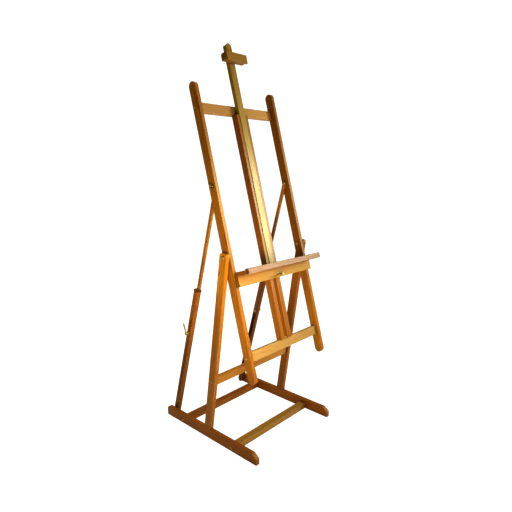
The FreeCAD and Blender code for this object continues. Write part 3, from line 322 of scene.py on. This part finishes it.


# The timber's tones: its pale and deep colour, the bare wood of rubbed edges, the colour of dirt and painted shade
# in the corners, how strong the rings and blotches are, how rough pale and deep wood is, and its varnish (gloss).
# "ends" is how dark a sawn end is.
tones = {
    "amber": {
        "pale": (0.330, 0.131, 0.0090), "deep": (0.142, 0.044, 0.0020),
        "bare": (0.42, 0.19, 0.05), "dirtAndShade": (0.05, 0.02, 0.006),
        "rings": 0.55, "blotch": 0.35, "rough": (0.34, 0.48), "gloss": 0.08, "ends": 0.3},
    "honey": {
        "pale": (0.305, 0.133, 0.0115), "deep": (0.205, 0.074, 0.0060),
        "bare": (0.50, 0.25, 0.07), "dirtAndShade": (0.06, 0.025, 0.008),
        "rings": 0.50, "blotch": 0.35, "rough": (0.34, 0.48), "gloss": 0.12, "ends": 0.85},
    "straw": {
        "pale": (0.285, 0.222, 0.0510), "deep": (0.200, 0.100, 0.0130),
        "bare": (0.58, 0.42, 0.17), "dirtAndShade": (0.07, 0.04, 0.012),
        "rings": 0.40, "blotch": 0.30, "rough": (0.26, 0.40), "gloss": 0.18, "ends": 0.9},
    "wheat": {
        "pale": (0.298, 0.181, 0.0660), "deep": (0.225, 0.128, 0.0290),
        "bare": (0.56, 0.36, 0.14), "dirtAndShade": (0.06, 0.03, 0.01),
        "rings": 0.45, "blotch": 0.30, "rough": (0.34, 0.48), "gloss": 0.12, "ends": 0.5},
    "chestnut": {
        "pale": (0.225, 0.082, 0.0065), "deep": (0.165, 0.047, 0.0033),
        "bare": (0.46, 0.21, 0.06), "dirtAndShade": (0.05, 0.02, 0.006),
        "rings": 0.50, "blotch": 0.30, "rough": (0.34, 0.48), "gloss": 0.24, "ends": 0.5},
    "cedar": {
        "pale": (0.262, 0.078, 0.0020), "deep": (0.100, 0.028, 0.0010),
        "bare": (0.38, 0.17, 0.04), "dirtAndShade": (0.04, 0.016, 0.004),
        "rings": 0.55, "blotch": 0.35, "rough": (0.36, 0.50), "gloss": 0.05, "ends": 0.3},
    "marigold": {
        "pale": (0.510, 0.208, 0.0130), "deep": (0.150, 0.048, 0.0020),
        "bare": (0.46, 0.22, 0.05), "dirtAndShade": (0.05, 0.02, 0.006),
        "rings": 0.55, "blotch": 0.35, "rough": (0.34, 0.48), "gloss": 0.08, "ends": 0.3},
    "corn": {
        "pale": (0.280, 0.168, 0.0220), "deep": (0.205, 0.078, 0.0070),
        "bare": (0.50, 0.25, 0.07), "dirtAndShade": (0.06, 0.025, 0.008),
        "rings": 0.45, "blotch": 0.25, "rough": (0.34, 0.48), "gloss": 0.10, "ends": 0.85},
    # Painted shade: a darker copy of the strut wood, standing in for the shade that the right strut lies in.
    "shadedBrown": {
        "pale": (0.180, 0.045, 0.0030), "deep": (0.070, 0.013, 0.0010),
        "bare": (0.30, 0.12, 0.03), "dirtAndShade": (0.040, 0.015, 0.005),
        "rings": 0.50, "blotch": 0.35, "rough": (0.36, 0.50), "gloss": 0.04, "ends": 0.4},
    "umber": {
        "pale": (0.350, 0.150, 0.0110), "deep": (0.140, 0.040, 0.0020),
        "bare": (0.48, 0.25, 0.06), "dirtAndShade": (0.05, 0.02, 0.006),
        "rings": 0.40, "blotch": 0.30, "rough": (0.34, 0.48), "gloss": 0.12, "ends": 0.5},
    "rose": {
        "pale": (0.190, 0.108, 0.0920), "deep": (0.140, 0.074, 0.0480),
        "bare": (0.52, 0.30, 0.14), "dirtAndShade": (0.06, 0.025, 0.012),
        "rings": 0.40, "blotch": 0.30, "rough": (0.34, 0.48), "gloss": 0.12, "ends": 1.0},
    "tan": {
        "pale": (0.370, 0.206, 0.0660), "deep": (0.210, 0.092, 0.0220),
        "bare": (0.50, 0.30, 0.11), "dirtAndShade": (0.06, 0.025, 0.01),
        "rings": 0.40, "blotch": 0.30, "rough": (0.34, 0.48), "gloss": 0.12, "ends": 0.5},
    "russet": {
        "pale": (0.260, 0.079, 0.0030), "deep": (0.125, 0.037, 0.0025),
        "bare": (0.38, 0.15, 0.035), "dirtAndShade": (0.040, 0.015, 0.005),
        "rings": 0.50, "blotch": 0.35, "rough": (0.36, 0.50), "gloss": 0.04, "ends": 0.4},
    "olive": {
        "pale": (0.250, 0.133, 0.0230), "deep": (0.128, 0.058, 0.0080),
        "bare": (0.40, 0.24, 0.07), "dirtAndShade": (0.045, 0.022, 0.01),
        "rings": 0.50, "blotch": 0.40, "rough": (0.36, 0.50), "gloss": 0.10, "ends": 0.45},
}

joints = {joint["name"]: joint for joint in frame["joints"]}
uprightLean = math.radians(8.9)  # how far the uprights lean to the front


def upTurn(direction):
    return (math.atan2(direction[1], direction[2]), 0.0, 0.0)


# The ways that the timber runs, each as the turn that brings the run upright.
runs = {
    "tilt": upTurn(joints["mast_slide"]["axis"]),
    "strut": upTurn(joints["left_strut_slide"]["axis"]),
    "lean": upTurn((0.0, -math.sin(uprightLean), math.cos(uprightLean))),
    "across": (0.0, -math.pi / 2, 0.0),
    "depth": (math.pi / 2, 0.0, 0.0),
}

# The tone and the run of each wooden piece.
timberPieces = {
    "left_foot": ("cedar", "depth"), "right_foot": ("cedar", "depth"),
    "front_base_rail": ("olive", "across"), "rear_base_rail": ("cedar", "across"),
    "left_upright": ("marigold", "lean"), "right_upright": ("cedar", "lean"),
    "upright_crossbar": ("honey", "across"),
    "left_side_rail": ("amber", "tilt"), "right_side_rail": ("amber", "tilt"),
    "top_crossbar": ("tan", "across"), "lower_crossbar": ("wheat", "across"),
    "left_channel_strip": ("chestnut", "tilt"), "right_channel_strip": ("chestnut", "tilt"),
    "channel_dowels": ("straw", "tilt"),
    "mast": ("straw", "tilt"), "head_block": ("olive", "across"),
    "tray_board": ("corn", "across"), "tray_shelf": ("honey", "across"),
    "tray_lip": ("rose", "across"), "tray_dowels": ("straw", "across"),
    # The right strut's darker tone is painted shade.
    "left_strut": ("russet", "strut"), "right_strut": ("shadedBrown", "strut"),
    "left_strut_rod": ("umber", "strut"), "right_strut_rod": ("umber", "strut"),
}

# Painted shade: these boards run into their deep tone from this height to that one, in metres, and by how much,
# darkening where less light falls on them; on the tray board it is the lip's painted shadow.
paintedShadeFades = {
    "rear_base_rail": (0.0, 0.01, 0.28),
    "left_upright": (0.90, 0.66, 0.50), "right_upright": (0.80, 0.60, 0.18),
    "left_side_rail": (1.20, 0.95, 0.25), "right_side_rail": (0.62, 1.02, 0.50),
    "left_channel_strip": (0.85, 1.15, 0.75), "right_channel_strip": (0.85, 1.15, 0.60),
    "mast": (1.64, 1.80, 0.40), "tray_board": (0.84, 0.90, 0.70),
    "left_strut": (0.54, 0.40, 0.60), "right_strut": (1.05, 0.85, 1.20),
    "left_strut_rod": (1.0, 0.9, 0.25), "right_strut_rod": (1.17, 1.06, 1.00),
}
noPaintedShade = (0.0, 1.0, 0.0)

# Where the boards are cut from the trunk. A board's middle is this near to the pith, or a
# step or two further off, in metres, and the next board lies this far round, in radians.
trunk = {"nearest": 0.06, "step": 0.02, "steps": 3, "round": 2.4}


def dressTimber():
    for seed, (nodeName, (tone, run)) in enumerate(timberPieces.items(), start=1):
        turn = runs[run]
        low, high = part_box(nodeName)
        middle = (Vector(low) + Vector(high)) / 2
        middle.rotate(Euler(turn))
        away = trunk["nearest"] + trunk["step"] * (seed % trunk["steps"])
        angle = trunk["round"] * seed
        pith = (away * math.cos(angle) - middle.x, away * math.sin(angle) - middle.y, 0.0)
        dress(nodeName, makeTimber("timber_" + nodeName, turn, tones[tone], pith, seed,
                                   paintedShadeFades.get(nodeName, noPaintedShade), timberFinish))


dressTimber()
print("timber dressed:", len(timberPieces), "pieces")


# Metal has a speckle of bright and dull spots, worn edges, and corners dulled by dirt and painted shade.
metalFinish = {
    "edgeRadius": 0.0006, "wear": 0.6, "grimeAndShade": 0.6,
    "speckleDetail": 4.0, "speckleRange": (0.30, 0.70),
    "bumpStrength": 0.15, "bumpDepth": 0.0002,
}

metals = {
    "brass": {
        "bright": (0.50, 0.42, 0.14), "dull": (0.26, 0.21, 0.06), "worn": (0.70, 0.60, 0.28),
        "rough": (0.30, 0.50), "speckle": 380.0, "metallic": 1.0, "shine": 0.5},
    "aged": {
        "bright": (0.34, 0.28, 0.10), "dull": (0.18, 0.14, 0.05), "worn": (0.50, 0.42, 0.18),
        "rough": (0.34, 0.52), "speckle": 380.0, "metallic": 1.0, "shine": 0.5},
    "tarnish": {
        "bright": (0.15, 0.11, 0.05), "dull": (0.07, 0.05, 0.02), "worn": (0.30, 0.24, 0.11),
        "rough": (0.40, 0.60), "speckle": 380.0, "metallic": 1.0, "shine": 0.5},
    "steel": {
        "bright": (0.55, 0.54, 0.52), "dull": (0.36, 0.35, 0.34), "worn": (0.75, 0.74, 0.72),
        "rough": (0.28, 0.50), "speckle": 300.0, "metallic": 1.0, "shine": 0.5},
    "dark_metal": {
        "bright": (0.085, 0.030, 0.012), "dull": (0.045, 0.016, 0.007),
        "worn": (0.20, 0.08, 0.03),
        "rough": (0.40, 0.60), "speckle": 260.0, "metallic": 0.0, "shine": 0.12},
}

# Brass pieces that have darkened more than the rest.
tarnished = {"strut_hinge_bolts": "tarnish", "strut_hinge_spacers": "tarnish",
             "tray_wing_nut": "aged"}

# Soft rims on the turned and cast metal, each with its width in millimetres.
softRims = {
    "pivot_bolts": 3.0, "pivot_nuts": 0.8, "mast_wing_nut": 0.7, "tray_wing_nut": 0.7,
    "left_wing_bolt": 0.7, "right_wing_bolt": 0.7, "left_clamp_lever": 0.6,
    "right_clamp_lever": 0.6, "left_clamp_bolt": 1.5, "right_clamp_bolt": 1.5,
    "left_strut_top_bolt": 1.5, "right_strut_top_bolt": 1.5,
}
rimShape = {"segments": 3, "sharperThan": 50.0}  # the edges that are softened, in degrees

metalPieces = bpy.data.collections.new("metalPieces")  # what the gleam lamp lights


def softenRims():
    for nodeName, width in softRims.items():
        rim = nodes[nodeName].modifiers.new("softRim", "BEVEL")
        rim.width = width / 1000
        rim.segments = rimShape["segments"]
        rim.limit_method = "ANGLE"
        rim.angle_limit = math.radians(rimShape["sharperThan"])
        rim.use_clamp_overlap = True


def makeMetal(name, spec, finish):
    mat = bpy.data.materials.new(name)
    mat.use_nodes = True
    tree = mat.node_tree
    bsdf = tree.nodes["Principled BSDF"]
    coords = addNode(tree, "ShaderNodeTexCoord", -1300, 0)
    noise = addNode(tree, "ShaderNodeTexNoise", -1000, 0)
    noise.inputs["Scale"].default_value = spec["speckle"]
    noise.inputs["Detail"].default_value = finish["speckleDetail"]
    linkUp(tree, coords.outputs["Object"], noise.inputs["Vector"])
    wornAndShaded = addWearAndShade(tree, coords.outputs["Object"], -1000, -300, finish)
    patina = mixColours(tree, -700, 100, noise.outputs["Fac"], spec["bright"], spec["dull"])
    rubbed = mixColours(tree, -500, 100, wornAndShaded["Worn"], patina, spec["worn"])
    # Dirt and painted shade dull the corners.
    dirtyAndShaded = mixColours(tree, -300, 100, wornAndShaded["Dirt And Shade"], rubbed, spec["dull"])
    linkUp(tree, dirtyAndShaded, bsdf.inputs["Base Color"])
    rough = remap(tree, noise.outputs["Fac"], -500, -150, *finish["speckleRange"],
                  *spec["rough"])
    linkUp(tree, rough, bsdf.inputs["Roughness"])
    addRelief(tree, noise.outputs["Fac"], bsdf, -300, -350, finish)
    bsdf.inputs["Metallic"].default_value = spec["metallic"]
    bsdf.inputs["Specular IOR Level"].default_value = spec["shine"]
    return mat


def dressMetal():
    mats = {name: makeMetal("metal_" + name, spec, metalFinish)
            for name, spec in metals.items()}
    count = 0
    for entry in record["subparts"]:
        metal = tarnished.get(entry["node"], entry["material_slot"])
        if metal in mats:
            dress(entry["node"], mats[metal])
            metalPieces.objects.link(nodes[entry["node"]])
            count += 1
    return count


softenRims()
print("metal dressed:", dressMetal(), "pieces")


# Square lamps, in metres, watts and degrees. A "glossOnly" lamp is a gleam on the metal
# alone, and a "matt" lamp gives no gleam.
lamps = {
    "keyRight": {"at": (2.1, -2.1, 1.95), "size": 1.1, "watts": 80.0,
                 "colour": (1.0, 0.97, 0.86), "aim": (0.0, 0.0, 0.95), "spread": 180.0},
    "fillLeft": {"at": (-0.86, -0.92, 0.80), "size": 0.4, "watts": 6.8,
                 "colour": (1.0, 0.86, 0.60), "aim": (-0.25, -0.12, 0.80), "spread": 100.0},
    "frontSoft": {"at": (-0.3, -2.6, 0.9), "size": 1.0, "watts": 9.0,
                  "colour": (1.0, 0.92, 0.72), "aim": (0.0, 0.0, 0.7), "spread": 180.0},
    "kickLeft": {"at": (-0.60, -1.35, 0.55), "size": 0.4, "watts": 1.4,
                 "colour": (1.0, 0.86, 0.55), "aim": (-0.28, -0.15, 0.66), "spread": 70.0},
    "gleamLeft": {"at": (-1.6, 1.35, 0.7), "size": 1.8, "watts": 4.5, "glossOnly": True,
                  "colour": (1.0, 0.90, 0.60), "aim": (0.0, -0.1, 0.8), "spread": 180.0},
    "backSoft": {"at": (1.1, 2.7, 0.9), "size": 1.6, "watts": 36.0, "matt": True,
                 "colour": (1.0, 0.97, 0.90), "aim": (0.0, 0.0, 0.9), "spread": 180.0},
    "softTop": {"at": (0.3, 0.6, 3.4), "size": 2.4, "watts": 40.0, "colour": (1.0, 1.0, 1.0),
                "aim": (0.0, 0.0, 0.95), "spread": 180.0},
}

studio = {
    "floorWidth": 80.0, "floorDrop": 0.0005, "floorTone": (0.84, 0.80, 0.72),
    "floorRough": 0.9, "floorShine": 0.1,
    "floorGlow": 1.12, "glowShare": 0.78,      # for the camera alone
    "backdrop": (1.0, 1.0, 1.0),               # what the camera sees of the air
    "air": (0.27, 0.23, 0.16),                 # what lights the easel
    "glossAir": (0.16, 0.12, 0.06),            # what its gleams show
}


def makeFloor(s):
    bpy.ops.mesh.primitive_plane_add(size=s["floorWidth"], location=(0.0, 0.0, -s["floorDrop"]))
    floor = bpy.context.object
    floor.name = "studioFloor"
    mat = bpy.data.materials.new("paleFloor")
    mat.use_nodes = True
    tree = mat.node_tree
    bsdf = tree.nodes["Principled BSDF"]
    bsdf.inputs["Base Color"].default_value = (*s["floorTone"], 1.0)
    bsdf.inputs["Roughness"].default_value = s["floorRough"]
    bsdf.inputs["Specular IOR Level"].default_value = s["floorShine"]
    glow = addNode(tree, "ShaderNodeEmission", -200, -300)
    glow.inputs["Strength"].default_value = s["floorGlow"]
    seen = addNode(tree, "ShaderNodeLightPath", -600, 300)
    share = mathNode(tree, "MULTIPLY", -300, 300, seen.outputs["Is Camera Ray"], s["glowShare"])
    mix = addNode(tree, "ShaderNodeMixShader", 300, 100)
    linkUp(tree, share, mix.inputs[0])
    linkUp(tree, bsdf.outputs[0], mix.inputs[1])
    linkUp(tree, glow.outputs[0], mix.inputs[2])
    linkUp(tree, mix.outputs[0], tree.nodes["Material Output"].inputs["Surface"])
    floor.data.materials.append(mat)


def makeLamps():
    for name, spec in lamps.items():
        data = bpy.data.lights.new(name, "AREA")
        data.size = spec["size"]
        data.energy = spec["watts"]
        data.color = spec["colour"]
        data.spread = math.radians(spec["spread"])
        lamp = bpy.data.objects.new(name, data)
        lamp.location = spec["at"]
        lamp.visible_camera = False
        if spec.get("glossOnly", False):
            lamp.visible_diffuse = False
            lamp.light_linking.receiver_collection = metalPieces
        lamp.visible_glossy = not spec.get("matt", False)
        aim = Vector(spec["aim"]) - lamp.location
        lamp.rotation_euler = aim.to_track_quat("-Z", "Y").to_euler()
        bpy.context.scene.collection.objects.link(lamp)


def makeAir(s):
    world = bpy.data.worlds.new("studioAir")
    bpy.context.scene.world = world
    world.use_nodes = True
    tree = world.node_tree
    seen = addNode(tree, "ShaderNodeLightPath", -600, 0)
    gleam = mixColours(tree, -500, 0, seen.outputs["Is Glossy Ray"], s["air"], s["glossAir"])
    air = mixColours(tree, -300, 0, seen.outputs["Is Camera Ray"], gleam, s["backdrop"])
    linkUp(tree, air, tree.nodes["Background"].inputs["Color"])


# In metres and degrees, with the lens and the sensor in millimetres.
cameraSettings = {
    "at": (-1.683, -1.647, 1.362), "yaw": 46.87, "pitch": -10.7, "roll": -0.35,
    "lens": 31.78, "sensor": 36.0, "nearest": 0.05,
}


def makeCamera(s):
    data = bpy.data.cameras.new("studioCamera")
    data.lens = s["lens"]
    data.sensor_width = s["sensor"]
    data.clip_start = s["nearest"]
    camera = bpy.data.objects.new("studioCamera", data)
    camera.location = s["at"]
    aim = (Matrix.Rotation(math.radians(-s["yaw"]), 3, "Z")
           @ Matrix.Rotation(math.radians(90 + s["pitch"]), 3, "X")
           @ Matrix.Rotation(math.radians(s["roll"]), 3, "Z"))
    camera.rotation_euler = aim.to_euler()
    bpy.context.scene.collection.objects.link(camera)
    bpy.context.scene.camera = camera


makeFloor(studio)
makeLamps()
makeAir(studio)
makeCamera(cameraSettings)
bpy.context.scene.view_settings.view_transform = "Standard"
bpy.context.scene.view_settings.look = "Medium High Contrast"
print("stage, light and camera set")
